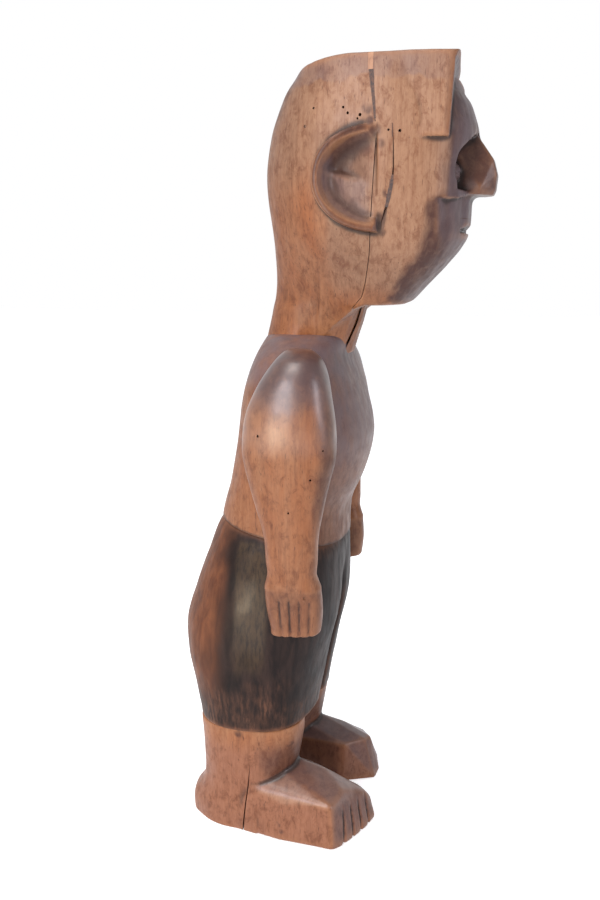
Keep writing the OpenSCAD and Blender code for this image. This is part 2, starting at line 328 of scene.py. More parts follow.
def hair_block(f, d):
    """A squared block of hair whose front edge stands proud of the forehead."""
    behind = np.where(f.z > FRONT_CUT_Z, hair_front(f.x, f.z) + 1.2 - f.y, -9)
    d = np.maximum(d, behind.astype(np.float32))
    block = [
        (29.6, -41.5, HAIR_LOW_Z), (30.6, -26, HAIR_LOW_Z), (27.3, -42.7, 274.6),
        (26.8, -42.9, 282), (28.2, -26, 282), (27, -20, HAIR_LOW_Z),
    ]
    lip = [
        (27.3, -42.7, 274.4), (26.4, -44.2, 277.4), (26.4, -44.2, 282), (27.6, -38, 282),
        (27.9, -38, 274.4),
    ]
    for half in (block, lip):
        d = np.minimum(d, f.hull([(x, y + hair_turn(x), z) for x, y, z in mirrored(half)]))
    return d


def flat_crown(f, d):
    """Carries the sides of the head up and cuts them off with a shallow roof."""
    f.carry_on(d, 270, 1, 0.12 + 0.55 * ramp(0, 16, f.y))
    back = np.maximum(0, f.y + 12) / 19
    front = np.maximum(0, -20 - f.y) / 24
    roof = CROWN_Z - 3 * (f.x / 29) ** 2 - 3.4 * back ** 2 - 0.5 * front ** 2
    return overlap(hair_block(f, d), f.z - roof, 0.5)


def nose_shape(f):
    shape = f.hull(mirrored([
        (2.0, -47.0, 256.0), (3.2, -50.4, 251.0), (4.0, -54.2, 246.0), (4.1, -55.6, 241.0),
        (3.8, -55.2, 236.0), (3.4, -54.4, 234.2), (9.0, -50.6, 236.6), (8.8, -50.4, 234.2),
        (9.6, -41.0, 234.4), (8.0, -41.0, 249.0), (4.0, -41.0, 256.0),
    ]))
    for side in (-1, 1):
        hollow = f.ball((side * 11.6, -49.5, 243.4), (3.8, 8.0, 5.8))
        shape = overlap(shape, -hollow, 0.6)
    return shape


def eye_hollows(f, d):
    """Deep sockets beside the nose, each with an almond eye parted by a slit."""
    hollow = [
        (1.0, -52.0, 256.0), (1.0, -41.8, 252.0), (22.5, -50.0, 250.5), (23.8, -49.0, 234.9),
        (23.2, -46.6, 247.5), (1.0, -52.0, 234.9), (4.0, -41.5, 236.0), (15.0, -41.2, 244.5),
        (16.0, -41.0, 236.0),
    ]
    for side in (-1, 1):
        d = overlap(d, -f.hull(on_side(side, hollow)), 0.7)
        lids = np.maximum(
            f.ball((side * 11.5, -41.2, 239.4), (6.6, 3.2, 5.2)),
            f.ball((side * 11.5, -41.2, 243.2), (6.6, 3.2, 5.2)),
        )
        slit = np.exp(-(((f.z - 241.2) / 0.5) ** 2)) * ramp(5.4, 4.6, np.abs(f.x - side * 11.5))
        d = np.minimum(d, lids + 0.5 * slit)
    return d


def cheek_ledges(f, d):
    """The lower face is cut back a little under the cheekbones."""
    across = np.abs(f.x)
    ledge_z = 234.4 - 1.9 * ramp(5, 22, across)
    under = ramp(ledge_z + 0.25, ledge_z - 0.25, f.z) * ramp(214, 230, f.z)
    return d + 1.4 * under * ramp(6, 13, across) * ramp(-37.5, -41, f.y)


def mouth(f, d):
    """A notch with a flat upper side that parts the lips and fades at the corners."""
    apex_y = -44.4
    open_y = -(f.y - apex_y)
    slot = np.maximum(f.z - (222.7 + 0.75 * open_y), (222.0 - 0.22 * open_y) - f.z)
    slot = np.maximum(slot, f.y - apex_y - 0.012 * f.x ** 2)
    slot = np.maximum(slot, np.abs(f.x) - 12.5)
    return overlap(d, -slot, 0.5)


def add_ears(f, d):
    """D-shaped ears, dished inside, that stand proud towards the back."""
    back = f.y - EAR_FRONT_Y
    up = f.z - EAR_Z
    bend = np.sqrt((back / EAR_DEPTH) ** 2 + (up / EAR_R) ** 2)
    inner = np.sqrt((back / (EAR_DEPTH - EAR_RIM)) ** 2 + (up / (EAR_R - EAR_RIM)) ** 2)
    outline = np.maximum((bend - 1) * EAR_R, -back)
    at_front = 0.4 + 3.2 * ramp(243, 227, f.z)
    proud = at_front + (8.2 - at_front) * ramp(-2, 19, back)
    dish = 1 - (1 - np.clip((1 - inner) / 0.26, 0, 1)) ** 2
    deep = 0.3 + 1.8 * ramp(0, 10, back) * ramp(1.0, 0.6, inner)
    crease = 1.8 * ramp(1.4, -1.4, up - 0.3 * back + 2) * ramp(2, 12, back)
    height = proud - dish * (proud + deep - crease)
    head_side = HEAD_R - 0.5 - 0.004 * np.maximum(back, 0) ** 2
    for side in (-1, 1):
        out = side * f.x
        ear = overlap(np.maximum(out - head_side - height, 24 - out) * 0.85, outline, 1.1)
        bowl = np.maximum(np.maximum(head_side + height - out, inner * 12 - 12), 26 - out)
        d = joined(d, ear, 0.6)
        d = overlap(d, -np.maximum(bowl, -back), 0.7)
    return d


def carry_neck_down(f, d):
    """Carries the neck on down, slanting towards the back."""
    top = 190
    k = f.layer(top)
    near = ramp(3.8, 2.8, d[:, :, k:k + 1])
    f.carry_on(d, top, -1, near * np.where(f.y < 9, 0.24, -0.22))
    return d


def throat_and_jaw(f, d):
    """Rounds out the throat below the chin and fills the corners behind the jaw."""
    throat = [
        (3, -11.8, 200), (10, -8.4, 200), (14.5, -2.5, 200), (10, 6, 200), (3, -9.5, 191),
        (10, -6.0, 191), (14.5, 0, 191), (3, -5.8, 180), (10, -2.4, 180), (14.5, 4, 180),
        (10, 8, 180),
    ]
    behind_jaw = [
        (24.8, -15, 213), (23.8, -14.5, 205), (21.8, -13.5, 199), (24, 0, 213), (20.4, 1, 203),
        (17.8, -1, 197), (10, -13.5, 199), (10, -10, 213), (15.8, 0, 190), (16.0, 3, 186),
        (10, 2, 186),
    ]
    d = joined(d, f.hull(mirrored(throat)), 1.5)
    for side in (-1, 1):
        d = joined(d, f.hull(on_side(side, behind_jaw)), 2.6)
    return d


def sculpt_head():
    f = Field((-46, -60, 168), (46, 30, 284), 0.5)
    d = f.nodes(
        "cranium", "face", "nose", "lips", "right_eye", "left_eye",
        "crown_slip", "seam_filler", "neck",
    )
    d = f.blurred(carry_neck_down(f, d), 1.2)
    d = throat_and_jaw(f, d)
    d = flat_crown(f, d)
    d = eye_hollows(f, d)
    d = np.minimum(d, nose_shape(f))
    d = cheek_ledges(f, d)
    d = mouth(f, d)
    return f, add_ears(f, d)


# ---- trunk

WAIST_Y = 18.0
WAIST_Z = 115.0
WAIST_RISE = np.tan(np.radians(12))
WRIST_Z = 104.0


def finger_cuts(f, d):
    """Four shallow V-grooves down the back of each hand."""
    for side, back in ((-1, 0.0), (1, 2.5)):
        outside = ramp(42, 47, side * f.x)
        for finger in range(1, 5):
            spread = 0.035 * (finger - 2.5) * (101 - f.z)
            line = f.y - (-5.4 + back + 3.5 * finger) + 0.6 * spread
            side_slope = np.where(line > 0, 1.5, 0.7)
            depth = np.clip(0.65 - np.abs(line) * side_slope, 0, 0.6)
            d = d + depth * outside * ramp(102.5, 99, f.z)
    return d


def shape_hands(f, d):
    """Squares off the finger tips and marks the wrist with a hollow and a low ledge."""
    f.carry_on(d, 89, -1, 0.05)
    d = d + 0.45 * np.exp(-(((f.z - 109) / 3) ** 2)) - 0.25 * np.exp(-(((f.z - WRIST_Z) / 1.1) ** 2))
    d = finger_cuts(f, d)
    return overlap(d, 86.6 - 0.1 * (f.y - 5) - f.z, 1.0)


def sculpt_trunk():
    f = Field((-58, -22, 82), (58, 50, 192), 0.5)
    torso = f.nodes("torso")
    base = 117
    k = f.layer(base)
    grow = 0.2 * ramp(10, 40, f.y) * np.minimum(8, base - f.z[:, :, :k])
    torso[:, :, :k] = torso[:, :, k:k + 1] - grow
    torso = f.blurred(torso, 1.3)
    right = f.blurred(f.opened(f.nodes("right_arm", "right_hand"), 1.2), 0.9)
    left = f.blurred(f.opened(f.nodes("left_arm", "left_hand"), 1.2), 0.9)
    arms = np.minimum(right, left)
    arms = shape_hands(f, arms)
    soft = 0.8 + 3.0 * ramp(140, 172, f.z)
    return f, joined(torso, arms, soft), arms - torso


# ---- shorts, legs and feet

HEM_Z = 42.0
CROTCH_Z = 84.0


def waist_side(y, z):
    """Distance above the sloping waist line."""
    return (z - WAIST_Z - WAIST_RISE * (y - WAIST_Y)) / np.hypot(1, WAIST_RISE)


def sculpt_shorts():
    f = Field((-42, -10, 38), (42, 60, 126), 0.6)
    d = f.nodes("shorts")
    d = d - 1.0 * np.exp(-(((f.z - 67) / 10) ** 2)) * ramp(30, 45, f.y)
    f.carry_on(d, 108, 1, 0.34)
    f.carry_on(d, 43.8, -1)
    d = f.blurred(d, 1.6)
    d = overlap(d, waist_side(f.y, f.z), 0.4)
    return f, overlap(d, HEM_Z - f.z, 0.8)


def toe_cuts(f, d):
    """Four V-cuts in the slanted front face of the right foot."""
    for toe in range(1, 5):
        share = toe / 5
        x = -38.5 + 25 * share
        y = -10.5 - 9 * share
        line = (f.x - x) * 0.94 + (f.y - y) * -0.34 - 0.12 * (f.z - 4)
        groove = np.clip(0.9 - np.abs(line) * np.where(line > 0, 1.5, 0.8), 0, 0.85)
        low = ramp(16 - 0.6 * toe, 10 - 0.6 * toe, f.z)
        d = d + groove * low * ramp(-4, -8, f.y + 0.36 * (f.x + 39))
    return d


RIGHT_FOOT = [
    (-34.5, 29, 0), (-38, 12.6, 0), (-39, -8.6, 0), (-36.2, -11.1, 0), (-29.1, -15, 0),
    (-21.1, -18.4, 0), (-14, -20.4, 0), (-8, -15, 0), (-7, 10, 0), (-7, 32, 0),
    (-35.2, 27, 13.2), (-37.4, 10, 14.2), (-38, -7.4, 17.2), (-34.6, 24.5, 18.6), (-33.2, 18.5, 20.4),
    (-28.4, 12.4, 23.2), (-20, 9.4, 25),
    (-20, -1.2, 22), (-27.5, -9.6, 18.6), (-17, -13, 14.4), (-9.5, -12.5, 10), (-8, 8, 17),
    (-20, 24, 26), (-9, 24, 20), (-11.5, -17.4, 7.5), (-16, -16.4, 12),
]
# The left foot ends in one large oblique cut instead of toes
LEFT_FOOT = [
    (34.5, 29, 0), (38, 10, 0), (37, -8, 0), (31, -13, 0), (19.9, -15.7, 0), (13, -15.1, 0),
    (7.1, -2.5, 0), (6.4, 12, 0), (7, 32, 0), (34.6, 28, 12), (36.5, 8, 11), (34, -6, 10),
    (9.8, -2.6, 15.5), (16.4, -9.8, 15.5), (21, -11.2, 14.5), (23, 1, 19), (24, 12, 21),
    (7.2, 14, 14), (7, 22, 18), (12, 12.5, 21), (20, 9.5, 22.5), (34, 24, 17), (20, 24, 24),
]


def sculpt_legs():
    f = Field((-44, -25, -3), (44, 58, 46), 0.5)
    legs = np.minimum(f.nodes("right_leg"), f.nodes("left_leg"))
    f.carry_on(legs, 40, 1)
    f.carry_on(legs, 36, -1, 0.04 + 0.14 * ramp(22, 8, f.y))
    legs = f.blurred(legs, 1.0)
    heels = np.minimum(f.nodes("right_foot"), f.nodes("left_foot"))
    f.carry_on(heels, 1.5, -1)
    heels = np.maximum(f.blurred(heels, 2.4), 22 - f.y)
    heels = overlap(heels, f.z - 21, 3.0)
    right = toe_cuts(f, f.blurred(f.hull(RIGHT_FOOT), 0.75))
    left = f.blurred(f.hull(LEFT_FOOT), 0.3)
    d = joined(legs, heels, 1.0 + 3.0 * ramp(27, 36, f.y))
    d = joined(d, np.minimum(right, left), 0.9)
    d = overlap(d, -f.z, 0.6)
    return f, overlap(d, f.z - HEM_Z, 0.3)


# ---- meshes

scratch_collection = bpy.context.scene.collection
# How deep the unevenness of knife work is on each carved mass
KNIFE_MARKS = {"trunk": 0.1, "shorts": 0.12, "head": 0.07, "legs": 0.12}


def new_object(name, points, faces):
    """A mesh object in metres from points in mm."""
    mesh = bpy.data.meshes.new(name)
    if isinstance(faces, np.ndarray):
        count, corners = faces.shape
        mesh.vertices.add(len(points))
        mesh.vertices.foreach_set("co", (points * MM).astype(np.float32).ravel())
        mesh.loops.add(count * corners)
        mesh.loops.foreach_set("vertex_index", faces.astype(np.int32).ravel())
        mesh.polygons.add(count)
        mesh.polygons.foreach_set("loop_start", np.arange(0, count * corners, corners, dtype=np.int32))
        mesh.update(calc_edges=True)
    else:
        mesh.from_pydata([Vector(p) * MM for p in points], [], faces)
    mesh.validate()
    made = bpy.data.objects.new(name, mesh)
    scratch_collection.objects.link(made)
    return made


def coordinates(mesh):
    return triples(mesh.vertices, "co") / MM


def normals(mesh):
    return triples(mesh.vertex_normals, "vector")


def fix_winding(made):
    shape = bmesh.new()
    shape.from_mesh(made.data)
    bmesh.ops.recalc_face_normals(shape, faces=shape.faces[:])
    shape.to_mesh(made.data)
    shape.free()


def surface_object(name, f, d):
    """The surface of a field as a mesh; each quad starts at its last corner."""
    points, quads = f.surface(d)
    return new_object(name, points, np.roll(quads, 1, axis=1))


def carved_object(name, f, d):
    """The surface of a field, with the shallow unevenness of knife work."""
    made = surface_object(name, f, d)
    points = coordinates(made.data)
    waves = noise(points, (7, 7, 11), 5) + 0.5 * noise(points, (3.2, 3.2, 5), 6)
    uneven = KNIFE_MARKS[name] * waves * ramp(0.0, 1.0, points[:, 2])
    points = points + normals(made.data) * uneven[:, None]
    made.data.vertices.foreach_set("co", (points * MM).astype(np.float32).ravel())
    made.data.update()
    return made


def bar_faces(first, count):
    """Faces of a bar with count corners at each end, numbered on from the first."""
    far = first + count
    faces = [list(range(first, far)), list(range(far + count - 1, far - 1, -1))]
    for i in range(count):
        j = (i + 1) % count
        faces.append([first + i, far + i, far + j, first + j])
    return faces


def prism(name, outline, low, high):
    """A bar along X with an outline of (y, z)."""
    points = [(end, y, z) for end in (low, high) for y, z in outline]
    made = new_object(name, points, bar_faces(0, len(outline)))
    fix_winding(made)
    return made


def box(name, x, y, z):
    """A block between two values of each coordinate."""
    return prism(name, [(y[0], z[0]), (y[1], z[0]), (y[1], z[1]), (y[0], z[1])], *x)


def drill(name, places, radius, x):
    """Small round pins along X at points of y and z, as one object."""
    points = []
    faces = []
    sides = 10
    for number, (y, z) in enumerate(places):
        r = radius * (0.8 + 0.2 * (number % 3))
        faces += bar_faces(len(points), sides)
        for end in x:
            for i in range(sides):
                angle = 2 * np.pi * i / sides
                points.append((end, y + r * np.cos(angle), z + 1.2 * r * np.sin(angle)))
    made = new_object(name, points, faces)
    fix_winding(made)
    return made


def combined(made, cutter, operation):
    """A new mesh object from two closed ones: INTERSECT, DIFFERENCE or UNION."""
    modifier = made.modifiers.new("cut", "BOOLEAN")
    modifier.solver = "MANIFOLD"
    modifier.operation = operation
    modifier.object = cutter
    bpy.context.view_layer.update()
    graph = bpy.context.evaluated_depsgraph_get()
    mesh = bpy.data.meshes.new_from_object(made.evaluated_get(graph))
    made.modifiers.remove(modifier)
    if not len(mesh.polygons):
        raise RuntimeError(f"{operation} of {made.name} and {cutter.name} is empty")
    result = bpy.data.objects.new(made.name, mesh)
    scratch_collection.objects.link(result)
    return result


def discard(*unwanted):
    for each in unwanted:
        mesh = each.data
        bpy.data.objects.remove(each)
        bpy.data.meshes.remove(mesh)


def split_off(made, cutter):
    """Divides an object by a cutter: the part inside it and the rest."""
    inside = combined(made, cutter, "INTERSECT")
    rest = combined(made, cutter, "DIFFERENCE")
    discard(made, cutter)
    return inside, rest


def carved_out(made, *cutters):
    for cutter in cutters:
        result = combined(made, cutter, "DIFFERENCE")
        discard(made, cutter)
        made = result
    return made


# ---- dividing the head

SIDES = ((-1, "right"), (1, "left"))
FAR = 80.0
SEAM_GAP = 0.24
# The split, as points of y and z from above the crown to below the neck
SPLIT = [
    (-16.6, 290), (-16.4, 276), (-17.4, 266), (-18.4, 258), (-18.9, 252), (-18.5, 246),
    (-17.9, 236), (-17.4, 226), (-16.6, 215), (-14.8, 205), (-13.4, 200.6), (-10.1, 197.0),
    (-8.0, 190), (-4.5, 181), (-2.6, 165),
]
# Let-in matter and cracks on the right of the head, as y, z and width from the top down
SLIP_Z = 271.5
SLIP_PATH = [(-16.5, 290, 1.9), (-16.5, SLIP_Z, 1.7)]
FILLER_PATH = [(-16.8, SLIP_Z, 1.6), (-17.4, 266, 1.1), (-18.3, 259, 0.8), (-18.5, 256.5, 0.5)]
EAR_FILLER_PATH = [(-24.4, 239.5, 0.5), (-24.1, 237, 1.1), (-23.2, 232.5, 1.3), (-22.5, 229.5, 0.9)]
FACE_CRACK = [
    (-24.1, 255, 0.05), (-24.5, 248, 0.22), (-24.6, 242, 0.3), (-24.4, 238.5, 0.5),
    (-22.5, 229.8, 0.8), (-21.4, 225, 1.4), (-20.8, 220, 0.5), (-19.6, 212, 0.3),
    (-17.0, 206.5, 0.3), (-15.0, 203, 0.2),
]
NECK_CRACK = [(-10.0, 196.6, 0.6), (-8.0, 190, 0.8), (-5.6, 184, 0.8), (-4.5, 181, 0.4)]
# A knife cut along the lower edge of the hair, as an outline of y and z
KNIFE_LINE = [(-29.4, 250.75), (-41.3, 250.5), (-41.3, 249.95), (-36, 250.25)]

# Worm holes, as y and z
HEAD_HOLES = [
    (-22.9, 253.0), (-26.4, 252.7), (4.8, 255.2), (14.6, 238), (-33.6, 223.8), (-23.8, 213.5),
    (-6.6, 210.8), (-12.4, 207.4), (-31.6, 212), (1.9, 260.6), (-8.2, 260.3), (7.8, 233),
    (-12.9, 256.7), (-9.7, 258.5), (-13.7, 257.8), (13.2, 205),
]
LEFT_HEAD_HOLES = [(-25, 262), (-28, 229), (3, 262), (9, 222), (-9, 206), (12, 245), (-37, 214)]


def strip(name, path, x_low, x_high):
    """A thin bar along a path of (y, z, width)."""
    front = [(y - w / 2, z) for y, z, w in path]
    back = [(y + w / 2, z) for y, z, w in reversed(path)]
    return prism(name, front + back, x_low, x_high)


def ear_cutter(side):
    angles = np.linspace(-0.5, 0.5, 25) * np.pi
    outline = [
        (EAR_FRONT_Y + (EAR_DEPTH + 0.3) * np.cos(a), EAR_Z + (EAR_R + 0.3) * np.sin(a))
        for a in angles
    ]
    ends = sorted((side * 30.9, side * FAR))
    return prism("ear_cutter", outline, *ends)


def beside_split(name, side):
    """All that lies in front of the split, for side -1, or behind it, for side 1."""
    outline = [(y + side * SEAM_GAP / 2, z) for y, z in SPLIT]
    outline += [(side * FAR, SPLIT[-1][1]), (side * FAR, SPLIT[0][1])]
    return prism(name, outline, -FAR, FAR)


def take_inlays(head, pieces):
    """Divides off the slip of new wood and the filler; returns the rest of the head."""
    pieces["crown_slip"], head = split_off(head, strip("slip_cut", SLIP_PATH, -FAR, -27.5))
    upper, head = split_off(head, strip("filler_cut", FILLER_PATH, -FAR, -28))
    lower, head = split_off(head, strip("filler_cut", EAR_FILLER_PATH, -FAR, -28))
    pieces["seam_filler"] = combined(upper, lower, "UNION")
    discard(upper, lower)
    return head


def take_features(head, pieces):
    """Divides off the ears, nose, lips and eyes; returns the rest of the head."""
    for side, name in SIDES:
        pieces[name + "_ear"], head = split_off(head, ear_cutter(side))
    nose_box = box("nose_cut", (-9.8, 9.8), (-42.6, -FAR), (257, 233.6))
    pieces["nose"], head = split_off(head, nose_box)
    lips_box = box("lips_cut", (-13, 13), (-41.5, -FAR), (226.4, 217.6))
    pieces["lips"], head = split_off(head, lips_box)
    for side, name in SIDES:
        ends = sorted((side * 10.0, side * 18.2))
        eye_box = box("eye_cut", ends, (-40.6, -46), (245.4, 237.0))
        pieces[name + "_eye"], head = split_off(head, eye_box)
    return head


def divide_head(head):
    """The head as pieces by the name of their CAD node."""
    pieces = {}
    head = take_inlays(head, pieces)
    head = carved_out(
        head,
        strip("crack_cut", FACE_CRACK, -FAR, -29.2),
        strip("neck_crack_cut", NECK_CRACK, -FAR, -3),
        prism("line_cut", KNIFE_LINE, -FAR, -30.4),
        drill("worm_cut", HEAD_HOLES, 0.4, (-FAR, -28.5)),
        drill("worm_cut", LEFT_HEAD_HOLES, 0.45, (28.5, FAR)),
    )
    head = take_features(head, pieces)
    front = beside_split("front_cut", -1)
    back = beside_split("back_cut", 1)
    pieces["face"] = combined(head, front, "INTERSECT")
    behind = combined(head, back, "INTERSECT")
    discard(head, front, back)
    below_jaw = box("neck_cut", (-FAR, FAR), (-FAR, FAR), (100, JAW_Z))
    pieces["neck"], pieces["cranium"] = split_off(behind, below_jaw)
    return pieces


# ---- paint

def paint(mesh, name, values):
    layer = mesh.attributes.new(name, "FLOAT", "POINT")
    layer.data.foreach_set("value", np.clip(values, 0, 1).astype(np.float32))


# Small dark stains on the figure's right side, as y, z and radius
STAINS = [
    (-15.8, 259.4, 1.9), (-16.8, 256.0, 1.5), (-18.6, 253.0, 2.2), (-20.3, 249.0, 1.6),
    (-20.5, 226.0, 2.2), (-21.2, 221.5, 1.3), (-22.4, 234.0, 1.6), (28.7, 40.3, 1.6),
    (10.6, 34.9, 1.4), (7.1, 42.2, 1.3), (13.0, 6.6, 1.2), (11.6, 4.0, 1.0),
]


class Skin:
    """Points of bare wood, how far they face each way, and what part of the figure they are.

    Each part is a mask: 1 on the part, 0 well off it.
    """

    def __init__(self, points, facing, above_collar):
        self.x, self.y, self.z = x, y, z = points.T
        self.left, self.back, self.up = facing.T
        self.front = -self.back
        self.blotch = noise(points, (6, 6, 9), 21)
        self.fine = noise(points, (2.0, 2.0, 3.5), 22)
        self.broken = noise(points, (1.1, 1.1, 1.6), 23)
        self.arm = ramp(35.5, 38, np.abs(x)) * ramp(186, 182, z) * ramp(60, 80, z)
        self.trunk = (1 - self.arm) * ramp(60, 100, z)
        self.chest = (1 - self.arm) * ramp(117, 124, z) * (not above_collar)
        # The chest, less of it low down, where painted grey sheen and gloss are laid on
        self.sheen_chest = self.chest * (1 - 0.7 * ramp(152, 134, z))
        self.throat = ramp(202, 196, z) * above_collar
        self.head = ramp(194, 200, z)
        self.find_face(np.abs(x), y, z)
        self.find_ear(np.abs(x), y, z)
        self.find_foot(x, y, z)

    def find_face(self, across, y, z):
        above_mouth = ramp(232, 233.5, z)
        self.nose = ramp(-40, -42, y) * ramp(10.5, 9.5, across) * above_mouth * ramp(258, 254, z)
        self.socket = ramp(24.5, 22.5, across) * above_mouth * ramp(257, 253, z) * ramp(-30, -34, y)

    def find_ear(self, across, y, z):
        """The rim and bowl of the ear, and the bowl's upper part, hind part and wall."""
        behind = y - EAR_FRONT_Y
        up = z - EAR_Z
        from_middle = np.hypot(behind / (EAR_DEPTH - EAR_RIM), up / (EAR_R - EAR_RIM))
        ear = ramp(25, 26, across) * ramp(-20, -18.8, y) * self.head * ramp(0.7, 0.3, self.back)
        outside = ramp(32, 33, across)
        self.rim = ear * ramp(0.98, 1.04, from_middle) * ramp(1.4, 1.25, from_middle) * outside
        self.bowl = ear * ramp(1.02, 0.92, from_middle)
        self.bowl_top = ramp(-1.5, 1.5, up + 2 - 0.3 * behind + 1.2 * self.fine)
        self.bowl_back = self.bowl * ramp(0.0, 5.0, behind + 1.5 * self.fine)
        self.bowl_wall = ramp(0.45, 0.8, from_middle + 0.08 * self.fine)

    def find_foot(self, x, y, z):
        self.foot = ramp(40, 30, z)
        inside = ramp(-1.6, 1.6, x + 29 + 0.32 * (15 - y) + self.fine)
        self.instep = self.foot * inside * ramp(0.4, 0.7, self.up) * ramp(27, 20, y)
        forward = ramp(0.35, 0.7, self.front + 0.1 * self.blotch)
        self.toes = self.foot * forward * ramp(20, 15, z) * ramp(5, 0, y)
        self.left_foot = self.foot * ramp(0, 6, x)


def stains(s):
    """The small dark stains, broken up along their edges."""
    total = np.zeros(len(s.x))
    for y, z, radius in STAINS:
        away = np.hypot(s.y - y, s.z - z) / radius
        total = np.maximum(total, ramp(1.3, 0.5, away) * (s.x < 0))
    return total * ramp(-0.7, 0.1, s.broken)


# Patina on the head, with painted shade on the front of the face and throat, on the back of the head and
# in a strip along the front edge of the hair
def head_patina_and_shade(s):
    temple = ramp(229, 236, s.z) * ramp(262, 250, s.z)
    turned = s.front + 0.08 * s.blotch + 0.05 * s.fine - 0.3 * temple
    behind_hair_edge = s.y - hair_front(s.x, s.z) + 0.4 * s.fine
    return strongest(
        s.head * ramp(0.28, 0.5, turned) * ramp(274, 264, s.z) * ramp(-19, -23, s.y),
        0.75 * s.head * ramp(0.5, 0.9, s.back + 0.1 * s.blotch) * ramp(236, 268, s.z),
        0.3 * ramp(236, 216, s.z - 0.6 * s.y + 4 * s.blotch) * ramp(186, 196, s.z),
        0.85 * ramp(2.4, 0.8, behind_hair_edge) * ramp(250, 252, s.z),
        0.4 * ramp(0.45, 0.9, s.front) * ramp(214, 220, s.z),
        0.5 * ramp(0.8, 0.97, s.front) * s.throat,
    )


# Patina on the body, with painted shade on the back and on the fronts of the arms, chest and belly
def body_patina_and_shade(s):
    return strongest(
        0.35 * ramp(0.1, 0.6, s.back + 0.15 * s.blotch) * ramp(60, 180, s.z),
        s.arm * (0.22 + 0.75 * ramp(160, 174, s.z + 3 * s.blotch)),
        0.8 * s.arm * ramp(0.35, 0.8, s.front) * ramp(112, 140, s.z),
        0.55 * s.arm * ramp(109, 102, s.z + 1.5 * s.blotch),
        0.55 * s.chest * ramp(0.0, 0.6, s.front),
        0.25 * s.trunk * ramp(150, 110, s.z),
        0.65 * s.trunk * ramp(144, 132, s.z) * ramp(-0.3, 0.4, s.front),
    )


def foot_patina(s):
    return strongest(
        0.7 * s.foot * ramp(26, 15, s.y + 2 * s.fine) * ramp(16, 26, s.z),
        0.38 * s.instep,
        0.5 * s.toes,
        0.65 * s.left_foot * ramp(-0.2, 0.3, s.up + 0.02 * (s.y + 3)),
    )


def patina_and_shade(s):
    """Where oil and handling have darkened the wood, with painted shade on surfaces turned forward and
    back, in the eye sockets and high in the ear bowls.
    """
    dark = strongest(head_patina_and_shade(s), body_patina_and_shade(s), foot_patina(s))
    cut_face = ramp(0.86, 0.93, -0.9 * s.left - 0.42 * s.back) * ramp(0, 5, s.x) * ramp(1, -2, s.y)
    dark = dark * (1 - 0.6 * s.foot * cut_face)
    on_wall = s.bowl_wall * (0.3 + 0.25 * s.bowl_top)
    return strongest(
        dark,
        0.9 * s.nose,
        # Patina and painted shade in the eye sockets, and painted shade high in the ear bowls and along
        # their walls
        s.socket * (1 - s.nose),
        s.bowl_back * (0.05 + 0.25 * s.bowl_top + on_wall),
        s.rim * (0.95 + 0.3 * s.blotch),
        0.8 * stains(s),
    )


def grey_bloom_and_sheen(s):
    """Grey laid on the wood: a bloom above a tide line on the crown, and painted grey sheen on the face,
    chest, shoulders, tops of the feet, eye sockets and ear bowls.
    """
    tide = 268.6 + 1.4 * np.exp(-(((s.y + 18) / 9) ** 2)) + s.fine + 1.2 * s.blotch
    bloom_and_sheen = strongest(
        (0.34 + 0.12 * s.blotch) * ramp(-0.5, 0.5, s.z - tide) * ramp(-42.5, -38, s.y),
        0.8 * s.head * ramp(0.62, 0.95, s.front),
        0.75 * s.sheen_chest * ramp(-0.1, 0.35, s.front + 0.15 * s.blotch) * ramp(124, 129, s.z),
        0.85 * s.sheen_chest * ramp(166, 176, s.z + 3 * s.blotch),
        0.3 * s.toes,
        0.3 * s.instep,
        0.5 * s.left_foot * ramp(0.5, 0.8, s.up),
    )
    bloom_and_sheen = bloom_and_sheen * (0.8 + 0.2 * s.fine + 0.15 * s.blotch)
    return strongest(
        bloom_and_sheen * (1 - 0.8 * s.nose),
        0.45 * s.socket * (1 - s.nose),
        0.4 * s.bowl_back * (1 - 0.7 * s.bowl_top),
        0.22 * s.arm * ramp(162, 170, s.z + 2 * s.blotch) * (1 - 0.4 * s.blotch),
    )


def shade_and_dirt(s, bend):
    """Painted shade and dirt in the hollows, and dirt along the waist line, with little of either under
    the ears.
    """
    waist = ramp(1.0, 0.2, waist_side(s.y, s.z) + 0.3 * s.fine) * ramp(100, 108, s.z)
    # Painted shade and dirt where the surface bends inward
    hollows = ramp(0.04, 0.26, -bend + 0.03 * s.fine) * (1 - 0.5 * s.bowl)
    under_ear = ramp(-19, -16, s.y) * ramp(14, 8, s.y) * ramp(219, 214, s.z) * ramp(183, 188, s.z)
    return np.maximum(hollows, 0.8 * waist * (1 - s.arm)) * (1 - 0.85 * under_ear)


def wear(s, bend):
    """Edges rubbed light, but not on the shoulders, in the sockets and on the ear rims."""
    edges = ramp(0.06, 0.34, bend + 0.05 * s.fine) * (1 - s.socket * (1 - 0.6 * s.nose))
    return edges * (1 - ramp(148, 160, s.z) * ramp(190, 180, s.z)) * (1 - 0.8 * s.rim)


def polish(s):
    facet = ramp(0.2, 0.5, s.up) * ramp(24, 18, s.y) * ramp(13, 16, s.z) * (s.x < 0)
    return strongest(
        s.arm * ramp(148, 158, s.z + 2 * s.blotch),
        0.2 * s.sheen_chest * ramp(0, 0.4, s.front),
        0.3 * s.nose,
        0.15 * s.rim,
        0.55 * s.instep,
        0.8 * s.foot * facet,
    )


def pale_wood(s):
    """The dry, pale wood of the head, all but the ear rims and the low part at the back."""
    low_back = ramp(-6, 4, s.y + 4 * s.blotch) * ramp(250, 225, s.z + 4 * s.blotch)
    return s.head * (1 - s.rim) * (1 - low_back) * ramp(198, 206, s.z)


